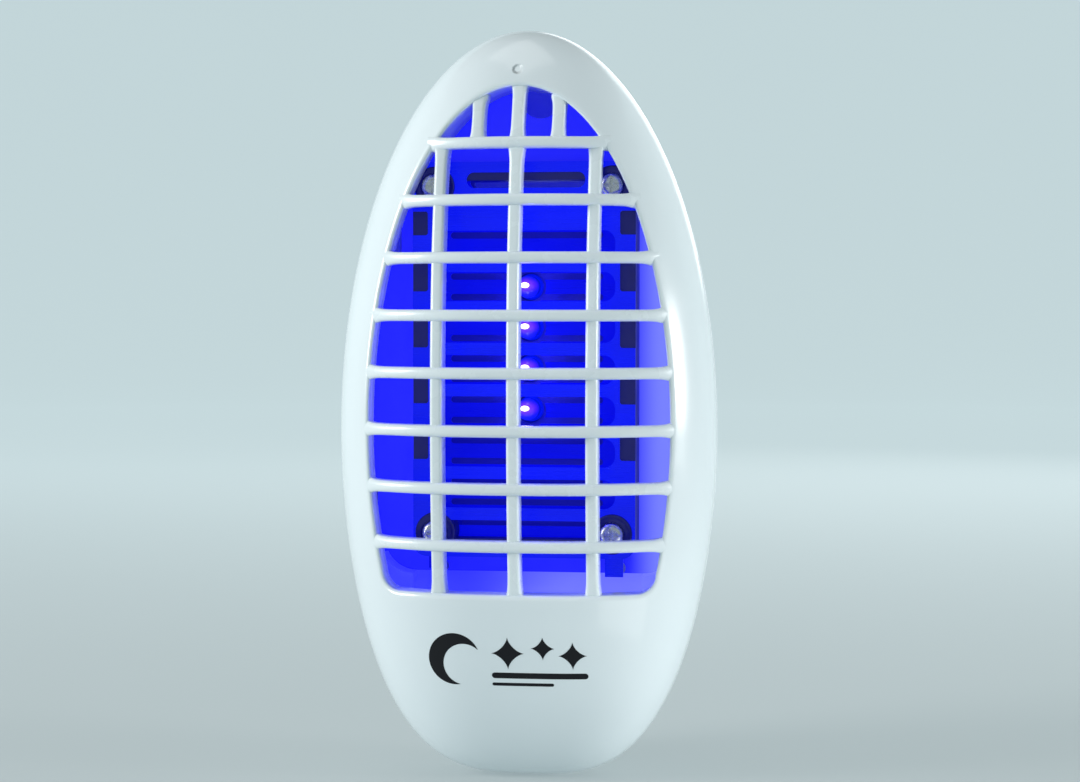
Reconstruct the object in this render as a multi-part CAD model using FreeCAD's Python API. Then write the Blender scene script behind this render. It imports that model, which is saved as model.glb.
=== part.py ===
import FreeCAD, Part

"""Plug-in LED bug zapper: an egg-shaped case that hangs on a wall outlet by its own blades.

Frame: millimetres, +Z up, front towards -Y, blades towards +Y.
Origin: on the flat back face that lies against the wall plate, midway between the two blades.
"""

import math
import os

V = FreeCAD.Vector

# Outline of the case, seen from the front
half_width = 42.0
top_height = 88.5
bottom_depth = 76.5
bottom_power_x = 3.1
bottom_power_z = 1.9
centre_z = 6.0

# Depths, from the wall towards the room
rim_y = -25.0
dome_height = 25.0
dome_power = 2.3
dome_root = 0.55
back_shrink = 0.20
wall = 2.2
parting_gap = 0.2

# Window and grille
window_half_width = 32.8
window_centre_z = 1.4
window_half_height = 73.9
window_bottom = -33.8
window_corner = 4.0
window_lip = 1.6
window_lip_depth = 6.5
hood_depth = 16.0
hood_low_z = 63.5
bar_count = 8
bar_pitch = 12.33
top_bar_z = 62.9
bar_height = 2.5
bar_front = 0.05
bar_depth = 3.8
upright_width = 2.7
upright_spacing = 16.7
top_upright_spacing = 8.7
upright_front = 1.0
upright_back = 5.6

# Electrode stack, held by four screws
screw_x = 19.6
screw_top_z = 54.0
screw_bottom_z = -22.0
stack_centre_z = (screw_top_z + screw_bottom_z) / 2
liner_inset = 3.4
liner_bottom = -35.4
liner_port_x = 2.5
liner_port_z = 74.0
liner_port_radius = 4.5
stack_half_width = 24.6
stack_half_height = 43.4
boss_end_y = -20.0
backing_thickness = 1.5
frame_depth = 4.5
sheet = 0.5
frame_rail = 4.0
grid_post_radius = 3.2
grid_boss_radius = 4.5
screw_radius = 1.4
screw_head_radius = 2.65
screw_head_height = 2.2
screw_grip = 8.0
small_screw_radius = 0.95
small_head_radius = 1.9
small_head_height = 1.3
plug_screw_radius = 1.1
plug_head_radius = 2.0
running_gap = 0.05

# Openings in the two electrodes
front_slot_count = 8
front_slot_half_length = 20.2
front_slot_half_height = 3.2
front_slot_round = 2.6
side_notch_count = 5
side_notch_x = 21.2
side_notch_low = 43.4
side_notch_height = 7.4
side_notch_top = 48.6
rear_slot_count = 15
rear_slot_half_length = 17.0
rear_slot_half_height = 0.7
top_slot_x = (-12.6, 13.6)
top_slot_rise = 1.4
top_slot_half_height = 1.7
lower_slot = (-8.0, 6.0, -24.6, -23.4)

# Insulating washers under the heads of the stack's screws
washer_radius = 4.4
washer_thickness = 0.8
collar_outer = 3.6
collar_inner = 3.1
collar_height = 0.9

# Ultraviolet LEDs and their board
led_count = 4
led_pitch = 9.1
led_top_z = 32.1
led_radius = 2.5
led_length = 6.1
led_board_y = -18.0
led_board_thickness = 1.6
led_hole_radius = 3.2
led_sight_radius = 4.4

led_post_radius = 2.6
led_screw_beyond = 7.4
led_board_half_width = 11.0

# Power board on the rear case
board_y = -9.0
board_thickness = 1.6
board_half_width = 15.0
board_bottom_z = -47.0
board_top_z = 13.0
board_screw_x = 12.0
board_screw_zs = (-43.5, 9.5)
board_post_radius = 2.4

# Parts on the power board: across and height ranges, then how far they stand off it
film_box = (-13.5, -5.5, -38.0, -21.0)
film_height = 8.6
smoothing_can = (5.0, -40.0, -27.0, 4.0)
disc_x = 8.0
disc_zs = (-22.0, -17.0, -12.0)
disc_radius = 3.2
disc_thickness = 2.2
diode_xs = (-11.5, -7.3, -3.1, 1.1)
diode_span = (-17.0, -12.0)
diode_radius = 1.3
resistor_xs = (-11.5, -6.9, -2.3)
resistor_span = (-8.0, -1.5)
resistor_radius = 1.2
fuse = (-8.5, 1.5, 10.0, 1.6)

# Plug
blade_spacing = 12.7
blade_width = 6.35
blade_thickness = 1.5
blade_reach = 17.0
blade_tail = 8.5
blade_hole_radius = 1.6
blade_hole_from_tip = 4.5
plug_block_depth = 4.5
plug_block_half_x = 11.5
plug_block_half_z = 6.0
plug_screw_z = 9.0
plug_post_radius = 2.2
strap_half_width = 3.2
strap_thickness = 0.8
contact_thickness = 0.6
contact_half_height = 2.4

# Vent slots in the back, above the blades
vent_zs = (34.0, 38.0, 42.0, 46.0, 50.0, 54.0)
vent_half_length = 9.0
vent_half_height = 0.9

# Catch tray at the bottom
tray_half_width = 12.65
tray_back_y = -10.35
tray_front_y = -24.6
tray_top_z = -55.0
tray_wall = 1.2
tray_floor_z = -70.5
tray_gap = 0.35
guide_thickness = 1.5
guide_gap = 0.45
guide_low_z = -66.0
guide_front_y = -24.0

# Chute that leads from the chamber into the tray
chute_top_z = -36.0
chute_bottom_z = -53.3
chute_wall = 1.2
chute_mouth = (-33.0, 33.0, -40.0, -21.6)
sill_back_z = -31.7
sill_front_y = -27.0
sill_front_z = -36.6
sill_thickness = 1.0
corner_x = 25.6
corner_rise = 4.2
chute_throat = (-11.4, 11.4, -23.2, -12.4)
chute_clearance = 1.2

# Slide switch in the left side
switch_y = -15.0
switch_z = -6.0
switch_slot_half_z = 5.2
switch_slot_half_y = 2.2
knob_half_z = 2.6
knob_half_y = 1.8
switch_face_x = -37.2
switch_back_x = -30.5
switch_half_z = 8.5
switch_half_y = 4.0
switch_rest = -2.0
knob_face_x = -42.6
stem_half_y = 1.2
stem_half_z = 1.6
stem_play_y = 0.4
stem_play_z = 3.8

# Blank rating plate let into the back
plate_half_x = 13.0
plate_low = -46.0
plate_high = -26.0
plate_depth = 0.3

# Insulated leads
lead_radius = 0.6
lead_hole_radius = 1.6
lead_hole_x = 20.0
lead_hole_z = -30.6
tab_half_width = 2.0

# Snap hooks on the cover
hook_zs = (-18.0, 44.0)
hook_width = 8.0
hook_thickness = 1.8
hook_end_y = -20.0
hook_root_y = -34.0
hook_clearance = 1.4
barb_reach = 0.5
barb_y = (-22.4, -21.2)

parts = {}


def keep(name, shape):
    """Store one named piece, as its own solids."""
    parts[name] = shape


def box(x0, x1, y0, y1, z0, z1):
    return Part.makeBox(x1 - x0, y1 - y0, z1 - z0, V(x0, y0, z0))


def rod(radius, x, z, y0, y1):
    """A round bar along Y."""
    return Part.makeCylinder(radius, y1 - y0, V(x, y0, z), V(0, 1, 0))


def join(shapes):
    """One solid from several that overlap."""
    whole = shapes[0]
    if len(shapes) > 1:
        whole = whole.multiFuse(shapes[1:])
    return whole.removeSplitter()


def rounded_box(x0, x1, y0, y1, z0, z1, radius):
    """A box whose four edges along Y are rounded."""
    block = box(x0, x1, y0, y1, z0, z1)
    edges = [e for e in block.Edges if abs(e.tangentAt(e.FirstParameter).y) > 0.99]
    return block.makeFillet(radius, edges)


# ---------------------------------------------------------------- outer shape


def outline_point(angle, inset):
    """The point of the outline in one direction from the widest level."""
    across = half_width - inset
    cos_a = abs(math.cos(angle))
    sin_a = math.sin(angle)
    if sin_a >= 0:
        up = top_height - inset
        reach = 1 / math.hypot(cos_a / across, sin_a / up)
    else:
        down = bottom_depth - inset
        low, high = 0.0, across + down
        for _ in range(60):
            reach = (low + high) / 2
            share = (reach * cos_a / across) ** bottom_power_x
            share += (reach * -sin_a / down) ** bottom_power_z
            low, high = (reach, high) if share < 1 else (low, reach)
    return reach * math.cos(angle), reach * sin_a


def outline_wire(inset, scale, y, count=72):
    """The closed outline, inset by a wall and shrunk towards the case's middle height."""
    points = []
    for i in range(count):
        x, z = outline_point(2 * math.pi * i / count, inset)
        points.append(V(x * scale, y, centre_z + (z - centre_z) * scale))
    curve = Part.BSplineCurve()
    curve.interpolate(points, PeriodicFlag=True)
    return Part.Wire([curve.toShape()])


def dome(inset, height):
    """The solid in front of the rim, under the cover's domed surface."""
    scales = [1.0, 0.992, 0.97, 0.93, 0.87, 0.79, 0.68, 0.54, 0.38, 0.22, 0.08]
    wires = []
    for s in scales:
        rise = height * (1 - s**dome_power) ** dome_root
        wires.append(outline_wire(inset, s, rim_y - rise))
    return Part.makeLoft(wires, True, False)


def back_bowl(inset, depth):
    """The solid behind the rim: a bowl that rounds into a flat back."""
    wires = []
    for i in range(8):
        turn = math.pi / 2 * i / 7
        s = 1 - back_shrink * (1 - math.cos(turn))
        wires.append(outline_wire(inset, s, rim_y + depth * math.sin(turn)))
    return Part.makeLoft(wires, True, False)


def window_prism(grow=0.0):
    """The window's shape, run from front to back: an ellipse cut flat at its foot."""
    ellipse = Part.Ellipse(
        V(0, window_half_height + grow, 0), V(window_half_width + grow, 0, 0), V(0, 0, 0)
    )
    foot = window_bottom - grow
    face = Part.Face(Part.Wire([ellipse.toShape()]))
    face.rotate(V(0, 0, 0), V(1, 0, 0), 90)
    face.translate(V(0, -70, window_centre_z))
    prism = face.extrude(V(0, 60, 0))
    prism = prism.common(box(-50, 50, -80, 0, foot, 100))
    corners = [
        e
        for e in prism.Edges
        if len(e.Vertexes) == 2
        and abs(e.Vertexes[0].Z - foot) < 0.01
        and abs(e.Vertexes[0].Y - e.Vertexes[1].Y) > 50
    ]
    return prism.makeFillet(window_corner + grow, corners)


dome_outer = dome(0, dome_height)
dome_inner = dome(wall, dome_height - wall)
bowl_outer = back_bowl(0, -rim_y)
bowl_inner = back_bowl(wall, -rim_y - wall)
window = window_prism()


def under_dome(depth):
    """The dome moved back by a depth, to cut bars that follow its curve."""
    moved = dome_outer.copy()
    moved.translate(V(0, depth, 0))
    return moved


# ---------------------------------------------------------------- cover and grille


def front_cover():
    rim = window_prism(window_lip).cut(window)
    lip = rim.common(under_dome(0.8).cut(under_dome(window_lip_depth)))
    hood = rim.common(under_dome(0.8).cut(under_dome(hood_depth)))
    hood = hood.common(box(-50, 50, -80, 0, hood_low_z, 100))
    shell = dome_outer.cut(dome_inner).cut(window)
    hooks = []
    for side in (-1, 1):
        for z in hook_zs:
            reach = hook_reach(z)
            x0, x1 = sorted((side * (reach - hook_thickness), side * reach))
            low, high = z - hook_width / 2, z + hook_width / 2
            hooks.append(box(x0, x1, hook_root_y, hook_end_y, low, high))
            b0, b1 = sorted((side * (reach - 0.2), side * (reach + barb_reach)))
            hooks.append(box(b0, b1, *barb_y, low, high))
    hooks = [h.common(join([dome_outer, bowl_outer])) for h in hooks]
    return join([shell, lip, hood] + hooks)


def hook_reach(z):
    """How far out a hook can stand and stay clear of the rear case's wall."""
    widths = [half_width * math.sqrt(1 - (e / top_height) ** 2) for e in (z - 5, z + 5)]
    return min(widths) - wall - hook_clearance


def across_bars():
    band = under_dome(bar_front).cut(under_dome(bar_front + bar_depth)).common(window)
    bars = []
    for i in range(bar_count):
        z = top_bar_z - i * bar_pitch
        bars.append(band.common(box(-50, 50, -80, 0, z - bar_height / 2, z + bar_height / 2)))
    return Part.makeCompound([s for b in bars for s in b.Solids])


def upright_bars(across):
    band = under_dome(upright_front).cut(under_dome(upright_back)).common(window)
    half = upright_width / 2
    strips = []
    for side in (-1, 0, 1):
        x = side * upright_spacing
        strips.append(band.common(box(x - half, x + half, -80, 0, -60, top_bar_z)))
        x = side * top_upright_spacing
        strips.append(band.common(box(x - half, x + half, -80, 0, top_bar_z + bar_height / 2, 90)))
    cut = [s.cut(across) for s in strips]
    return Part.makeCompound([max(c.Solids, key=lambda s: s.Volume) for c in cut])


# ---------------------------------------------------------------- rear case


tray_hole = box(
    -tray_half_width - tray_gap,
    tray_half_width + tray_gap,
    tray_front_y - tray_gap,
    tray_back_y + tray_gap,
    -90,
    -60,
)


def screw_places():
    return [(side * screw_x, z) for side in (-1, 1) for z in (screw_bottom_z, screw_top_z)]


def board_screw_places():
    return [(side * board_screw_x, z) for side in (-1, 1) for z in board_screw_zs]


def rear_case():
    bowl = bowl_outer.cut(bowl_inner)
    solids = [bowl.cut(box(-50, 50, rim_y - 1, rim_y + parting_gap, -100, 100))]
    for x, z in screw_places():
        solids.append(rod(grid_post_radius, x, z, boss_end_y, -wall + 0.5))
    for x, z in board_screw_places():
        solids.append(rod(board_post_radius, x, z, board_y, -wall + 0.5))
    for z in (-plug_screw_z, plug_screw_z):
        solids.append(rod(plug_post_radius, 0, z, -wall - plug_block_depth, -wall + 0.5))
    for side in (-1, 1):
        inner = tray_half_width + guide_gap
        x0, x1 = sorted((side * inner, side * (inner + guide_thickness)))
        guide = box(x0, x1, guide_front_y, -wall + 0.5, guide_low_z, tray_top_z)
        solids.append(guide.common(bowl_outer))
        z = switch_z + side * (switch_half_z - 1.5)
        post = box(switch_face_x + 0.5, switch_back_x, switch_y + switch_half_y, -wall + 0.5,
                   z - 1.5, z + 1.5)
        solids.append(post.common(bowl_outer))
    case = join(solids)
    cuts = [tray_hole]
    cuts.append(
        box(-45, -36, switch_y - switch_slot_half_y, switch_y + switch_slot_half_y,
            switch_z - switch_slot_half_z, switch_z + switch_slot_half_z)
    )
    for x, z in screw_places():
        cuts.append(rod(screw_radius + running_gap, x, z, boss_end_y - 1, boss_end_y + screw_grip + 1))
    for x, z in board_screw_places():
        cuts.append(rod(small_screw_radius + running_gap, x, z, board_y - 1, board_y + 5))
    for z in (-plug_screw_z, plug_screw_z):
        post_face = -wall - plug_block_depth
        cuts.append(rod(plug_screw_radius + running_gap, 0, z, post_face - 1, -wall - 0.4))
    for side in (-1, 1):
        x = side * blade_spacing / 2
        half_x = blade_thickness / 2 + running_gap
        half_z = blade_width / 2 + running_gap
        cuts.append(box(x - half_x, x + half_x, -wall - 1, 1, -half_z, half_z))
    cuts.append(rounded_box(-plate_half_x, plate_half_x, -plate_depth, 1, plate_low, plate_high, 2.0))
    for z in vent_zs:
        cuts.append(rounded_box(-vent_half_length, vent_half_length, -wall - 1, 1,
                                z - vent_half_height, z + vent_half_height, vent_half_height - 0.05))
    return case.cut(join_loose(cuts))


def join_loose(shapes):
    """A compound of cutters that needn't touch."""
    return Part.makeCompound(shapes)


# ---------------------------------------------------------------- electrode stack


def stack_levels():
    """The Y of each face in the stack, from the bosses forward."""
    backing = boss_end_y - backing_thickness
    rear_frame = backing - frame_depth
    rear_sheet = rear_frame - sheet
    front_frame = rear_sheet - frame_depth
    front_sheet = front_frame - sheet
    return backing, rear_frame, rear_sheet, front_frame, front_sheet


backing_y, rear_frame_y, rear_sheet_y, front_frame_y, front_sheet_y = stack_levels()
stack_low = stack_centre_z - stack_half_height
stack_high = stack_centre_z + stack_half_height


def led_zs():
    return [led_top_z - i * led_pitch for i in range(led_count)]


def screw_holes(radius, y0, y1):
    return [rod(radius, x, z, y0, y1) for x, z in screw_places()]


def slab(y0, y1, shrink=0.0, corner=3.0):
    """A plate of the stack's outline."""
    w = stack_half_width - shrink
    return rounded_box(-w, w, y0, y1, stack_low + shrink, stack_high - shrink, corner)


def inner_liner():
    """The light panel across the whole case, behind the electrodes, down to the chute."""
    face = Part.Face(outline_wire(liner_inset, 1.0, backing_y))
    plate = face.extrude(V(0, backing_thickness, 0))
    plate = plate.cut(box(-50, 50, -60, 0, -100, liner_bottom))
    notches = []
    for z in hook_zs:
        edge = hook_reach(z) - hook_thickness - 0.5
        half = hook_width / 2 + 0.5
        notches.append(box(-50, -edge, -60, 0, z - half, z + half))
        notches.append(box(edge, 50, -60, 0, z - half, z + half))
    plate = plate.cut(join_loose(notches))
    feet = [rod(led_post_radius, 0, z, boss_end_y - 0.3, led_board_y) for z in led_screw_zs()]
    plate = join([plate] + feet)
    holes = screw_holes(screw_radius + running_gap, -40, 0)
    holes += [rod(led_hole_radius, 0, z, -40, 0) for z in led_zs()]
    holes += [rod(small_screw_radius + running_gap, 0, z, backing_y + 0.5, 0) for z in led_screw_zs()]
    holes += [rod(lead_hole_radius, side * lead_hole_x, lead_hole_z, -40, 0) for side in (-1, 1)]
    holes.append(rod(liner_port_radius, liner_port_x, liner_port_z, -40, 0))
    holes.append(top_slot())
    return plate.cut(join_loose(holes))


def led_screw_zs():
    return [led_top_z + led_screw_beyond, led_top_z - (led_count - 1) * led_pitch - led_screw_beyond]


def grid_frame(y_front, y_back):
    """One half of the insulating frame: a rounded ring with a boss at each screw."""
    ring = slab(y_front, y_back).cut(slab(y_front - 1, y_back + 1, frame_rail, 2.0))
    bosses = [rod(grid_boss_radius, x, z, y_front, y_back) for x, z in screw_places()]
    ring = join([ring] + [b.common(slab(y_front, y_back)) for b in bosses])
    return ring.cut(join_loose(screw_holes(screw_radius + running_gap, -40, 0)))


def top_slot():
    """The long opening near the stack's top, through the electrodes and the liner."""
    z = screw_top_z + top_slot_rise
    low, high = z - top_slot_half_height, z + top_slot_half_height
    return rounded_box(*top_slot_x, -40, 0, low, high, top_slot_half_height - 0.1)


def rear_electrode():
    tab = box(-lead_hole_x - tab_half_width, -lead_hole_x + tab_half_width, rear_sheet_y, rear_frame_y,
              lead_hole_z, stack_low + 3)
    plate = join([slab(rear_sheet_y, rear_frame_y, 1.0), tab])
    cuts = screw_holes(grid_boss_radius - 1.0, -40, 0)
    slots = []
    for i in range(rear_slot_count):
        level = led_top_z + (1.5 - (i + 0.5) / 2) * led_pitch
        low, high = level - rear_slot_half_height, level + rear_slot_half_height
        slots.append(rounded_box(-rear_slot_half_length, rear_slot_half_length, -40, 0, low, high,
                                 rear_slot_half_height - 0.05))
    slots += [rod(led_sight_radius, 0, level, -40, 0) for level in led_zs()]
    return plate.cut(join_loose(cuts + [join(slots), top_slot()]))


def front_electrode():
    tab = box(lead_hole_x - tab_half_width, lead_hole_x + tab_half_width, front_sheet_y, front_frame_y,
              lead_hole_z - 0.8, stack_low + 1)
    plate = join([slab(front_sheet_y, front_frame_y), tab])
    cuts = screw_holes(screw_radius + running_gap, -40, 0)
    for i in range(front_slot_count):
        level = led_top_z + (1 - i) * led_pitch
        low, high = level - front_slot_half_height, level + front_slot_half_height
        cuts.append(rounded_box(-front_slot_half_length, front_slot_half_length, -40, 0, low, high,
                                front_slot_round))
    cuts.append(top_slot())
    x0, x1, z0, z1 = lower_slot
    cuts.append(rounded_box(x0, x1, -40, 0, z0, z1, 0.55))
    for side in (-1, 1):
        x0, x1 = sorted((side * side_notch_x, side * (stack_half_width + 2)))
        for i in range(side_notch_count):
            low = side_notch_low - i * bar_pitch
            high = min(low + side_notch_height, side_notch_top)
            cuts.append(rounded_box(x0, x1, -40, 0, low, high, 0.6))
    return plate.cut(join_loose(cuts))


def insulating_washers():
    """One washer at each screw: a disc with a collar round the screw's head."""
    washers = []
    face = front_sheet_y - washer_thickness
    for x, z in screw_places():
        disc = rod(washer_radius, x, z, face, front_sheet_y)
        rim = [e for e in disc.Edges if abs(e.CenterOfMass.y - face) < 0.01]
        disc = disc.makeFillet(0.3, rim)
        collar = rod(collar_outer, x, z, face - collar_height, front_sheet_y)
        room = rod(collar_inner, x, z, face - collar_height - 1, face)
        hole = rod(screw_radius + running_gap, x, z, face - 1, front_sheet_y + 1)
        washers.append(join([disc, collar]).cut(join_loose([room, hole])))
    return Part.makeCompound(washers)


def cross_screw(x, z, face_y, radius, head_radius, head_height, length):
    """A pan-head screw with a cross recess, driven towards the wall."""
    head = rod(head_radius, x, z, face_y - head_height, face_y)
    rim = [e for e in head.Edges if abs(e.CenterOfMass.y - face_y + head_height) < 0.01]
    head = head.makeFillet(head_height * 0.55, rim)
    shank = rod(radius, x, z, face_y - 0.2, face_y + length)
    screw = join([head, shank])
    arm = head_radius * 0.62
    half = head_radius * 0.13
    top, foot = face_y - head_height - 1, face_y - head_height * 0.45
    recess = [
        box(x - arm, x + arm, top, foot, z - half, z + half),
        box(x - half, x + half, top, foot, z - arm, z + arm),
    ]
    return screw.cut(join(recess))


def grid_screws():
    under_head = front_sheet_y - washer_thickness
    length = boss_end_y - under_head + screw_grip
    return Part.makeCompound([
        cross_screw(x, z, under_head, screw_radius, screw_head_radius, screw_head_height, length)
        for x, z in screw_places()
    ])


# ---------------------------------------------------------------- LEDs and boards


def led_board():
    low = led_screw_zs()[1] - 4
    high = led_screw_zs()[0] + 4
    plate = rounded_box(-led_board_half_width, led_board_half_width, led_board_y,
                        led_board_y + led_board_thickness, low, high, 1.5)
    holes = [rod(small_screw_radius + running_gap, 0, z, -40, 0) for z in led_screw_zs()]
    return plate.cut(join_loose(holes))


def led_board_screws():
    screws = []
    for z in led_screw_zs():
        screw = cross_screw(0, -z, 0, small_screw_radius, small_head_radius, small_head_height,
                            led_board_thickness + 2.6)
        screw.rotate(V(0, 0, 0), V(1, 0, 0), 180)
        screw.translate(V(0, led_board_y + led_board_thickness, 0))
        screws.append(screw)
    return Part.makeCompound(screws)


def uv_led(z):
    """A round LED: a flanged barrel with a domed nose."""
    flange = rod(led_radius + 0.4, 0, z, led_board_y - 1.0, led_board_y)
    barrel = rod(led_radius, 0, z, led_board_y - led_length, led_board_y)
    nose = Part.makeSphere(led_radius, V(0, led_board_y - led_length, z))
    return join([flange, barrel, nose])


def power_board():
    plate = rounded_box(-board_half_width, board_half_width, board_y - board_thickness, board_y,
                        board_bottom_z, board_top_z, 1.5)
    holes = [rod(small_screw_radius + running_gap, x, z, -40, 0) for x, z in board_screw_places()]
    return plate.cut(join_loose(holes))


def power_board_screws():
    return Part.makeCompound([
        cross_screw(x, z, board_y - board_thickness, small_screw_radius, small_head_radius,
                    small_head_height, board_thickness + 4)
        for x, z in board_screw_places()
    ])


def lying_can(x, z0, z1, radius, y):
    """A round part lying along Z on the board's front."""
    can = Part.makeCylinder(radius, z1 - z0, V(x, y - radius, z0), V(0, 0, 1))
    return can.makeFillet(min(0.6, radius * 0.3), [e for e in can.Edges if len(e.Vertexes) == 1])


def components():
    """The parts on the front of the power board."""
    y = board_y - board_thickness
    x0, x1, z0, z1 = film_box
    keep("mains_film_capacitor", rounded_box(x0, x1, y - film_height, y, z0, z1, 1.0))
    keep("smoothing_capacitor", lying_can(*smoothing_can, y))
    discs = []
    for z in disc_zs:
        middle = V(disc_x, y - disc_radius - 0.1, z)
        discs.append(Part.makeCylinder(disc_radius, disc_thickness, middle, V(0, 0, 1)))
    keep("multiplier_capacitors", Part.makeCompound(discs))
    diodes = [lying_can(x, *diode_span, diode_radius, y) for x in diode_xs]
    keep("rectifier_diodes", Part.makeCompound(diodes))
    resistors = [lying_can(x, *resistor_span, resistor_radius, y) for x in resistor_xs]
    keep("resistors", Part.makeCompound(resistors))
    keep("fuse_resistor", lying_can(*fuse, y))


# ---------------------------------------------------------------- plug


def blade(side):
    x = side * blade_spacing / 2
    half = blade_thickness / 2
    flat = box(x - half, x + half, -blade_tail, blade_reach, -blade_width / 2, blade_width / 2)
    tip = [e for e in flat.Edges if abs(e.CenterOfMass.y - blade_reach) < 0.01]
    flat = flat.makeChamfer(0.45, tip)
    hole_start = V(x - 3, blade_reach - blade_hole_from_tip, 0)
    hole = Part.makeCylinder(blade_hole_radius, 6, hole_start, V(1, 0, 0))
    return flat.cut(hole)


def plug_block():
    """The insulating block inside the case that locks the blades."""
    block = rounded_box(-plug_block_half_x, plug_block_half_x, -wall - plug_block_depth, -wall,
                        -plug_block_half_z, plug_block_half_z, 1.5)
    slots = []
    for side in (-1, 1):
        x = side * blade_spacing / 2
        half_x = blade_thickness / 2 + running_gap
        half_z = blade_width / 2 + running_gap
        slots.append(box(x - half_x, x + half_x, -20, 1, -half_z, half_z))
    return block.cut(join_loose(slots))


def plug_bridge():
    """The strap over the plug block, screwed to two posts."""
    y = -wall - plug_block_depth
    strap = rounded_box(-strap_half_width, strap_half_width, y - strap_thickness, y,
                        -plug_screw_z - 3, plug_screw_z + 3, 1.5)
    holes = [rod(plug_screw_radius + running_gap, 0, z, -40, 0) for z in (-plug_screw_z, plug_screw_z)]
    return strap.cut(join_loose(holes))


def plug_screws():
    y = -wall - plug_block_depth - strap_thickness
    return Part.makeCompound([
        cross_screw(0, z, y, plug_screw_radius, plug_head_radius, small_head_height, 4.6)
        for z in (-plug_screw_z, plug_screw_z)
    ])


# ---------------------------------------------------------------- tray, switch, rating plate


def catch_tray():
    """An open-topped drawer whose floor is the missing piece of the case's bottom."""
    block = box(-tray_half_width, tray_half_width, tray_front_y, tray_back_y, -90, tray_top_z)
    skin = join([dome_outer, bowl_outer])
    body = block.common(skin)
    room = box(-tray_half_width + tray_wall, tray_half_width - tray_wall,
               tray_front_y + tray_wall, tray_back_y - tray_wall, tray_floor_z, 0)
    return body.cut(room)


def rectangle(sides, inset, z):
    """The four corners of a level rectangle, in order."""
    x0, x1, y0, y1 = sides
    return [
        V(x0 + inset, y0 + inset, z), V(x1 - inset, y0 + inset, z),
        V(x1 - inset, y1 - inset, z), V(x0 + inset, y1 - inset, z),
    ]


def funnel_walls():
    """Four flat sloping walls, which meet in mitred corners."""
    levels = [(chute_throat, chute_bottom_z), (chute_mouth, chute_top_z)]
    walls = []
    for i in range(4):
        j = (i + 1) % 4
        ends = []
        for sides, z in levels:
            outer, inner = rectangle(sides, 0, z), rectangle(sides, chute_wall, z)
            ends.append(Part.makePolygon([outer[i], outer[j], inner[j], inner[i], outer[i]]))
        walls.append(Part.makeLoft(ends, True, True))
    return walls


def prism_along_x(x0, x1, outline):
    """A solid of one outline, given as (y, z) corners, that runs along X."""
    corners = [V(x0, y, z) for y, z in outline]
    face = Part.Face(Part.makePolygon(corners + corners[:1]))
    return face.extrude(V(x1 - x0, 0, 0))


def insect_chute():
    """A funnel under the window: it slopes back under the liner and ends just above the tray.

    One moulding, kept as one solid for each wall, for the sill and for each rounded corner.
    """
    walls = funnel_walls()
    x0, x1, _, back_y = chute_mouth
    foot_z = sill_front_z - sill_thickness
    sill = prism_along_x(x0, x1, [(back_y, sill_back_z), (sill_front_y, sill_front_z),
                                  (sill_front_y, foot_z), (back_y, foot_z)])
    pieces = walls + [sill.cut(join_loose(walls))]
    for side, edge in ((-1, x0), (1, x1)):
        a, b = sorted((side * corner_x, edge))
        block = box(a, b, sill_front_y, back_y, foot_z, sill_back_z + corner_rise)
        radius = b - a
        middle = V(side * corner_x, sill_front_y - 1, sill_back_z + radius)
        hollow = Part.makeCylinder(radius, back_y - sill_front_y + 2, middle, V(0, 1, 0))
        above = box(a, b, sill_front_y - 1, back_y + 1, sill_back_z + radius, 0)
        pieces.append(block.cut(join_loose([hollow, above] + walls + [sill])))
    room = dome(wall + chute_clearance, dome_height - wall - chute_clearance)
    room = join([room, box(x0 - 3, x1 + 3, rim_y - 0.5, tray_back_y, chute_bottom_z - 1, -26)])
    clipped = [p.common(room) for p in pieces]
    return Part.makeCompound([max(c.Solids, key=lambda s: s.Volume) for c in clipped])


def switch_body():
    y0 = switch_y - switch_half_y
    y1 = switch_y + switch_half_y
    body = box(switch_face_x, switch_back_x, y0, y1, switch_z - switch_half_z, switch_z + switch_half_z)
    half_y = stem_half_y + stem_play_y
    half_z = stem_half_z + stem_play_z
    stem_room = box(switch_face_x - 1, switch_face_x + 3.5, switch_y - half_y, switch_y + half_y,
                    switch_z - half_z, switch_z + half_z)
    return body.cut(stem_room)


def switch_knob():
    z = switch_z + switch_rest
    cap = box(knob_face_x, switch_face_x - 0.4, switch_y - knob_half_y, switch_y + knob_half_y,
              z - knob_half_z, z + knob_half_z)
    outer = [e for e in cap.Edges if abs(e.CenterOfMass.x - knob_face_x) < 0.01]
    cap = cap.makeFillet(0.5, outer)
    stem = box(switch_face_x - 1, switch_face_x + 3.0, switch_y - stem_half_y, switch_y + stem_half_y,
               z - stem_half_z, z + stem_half_z)
    return join([cap, stem])


def rating_plate():
    """A blank plate let into the back, below the blades."""
    gap = running_gap
    return rounded_box(-plate_half_x + gap, plate_half_x - gap, -plate_depth, -0.02,
                       plate_low + gap, plate_high - gap, 2.0)


def contact(side):
    """The bent spring tab that joins a blade's tail to its lead."""
    x = side * blade_spacing / 2
    half = blade_thickness / 2
    inner = x + side * half
    x0, x1 = sorted((inner, inner + side * contact_thickness))
    return box(x0, x1, -blade_tail + 0.2, -wall - plug_block_depth - running_gap,
               -contact_half_height, contact_half_height)


# ---------------------------------------------------------------- leads


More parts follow.
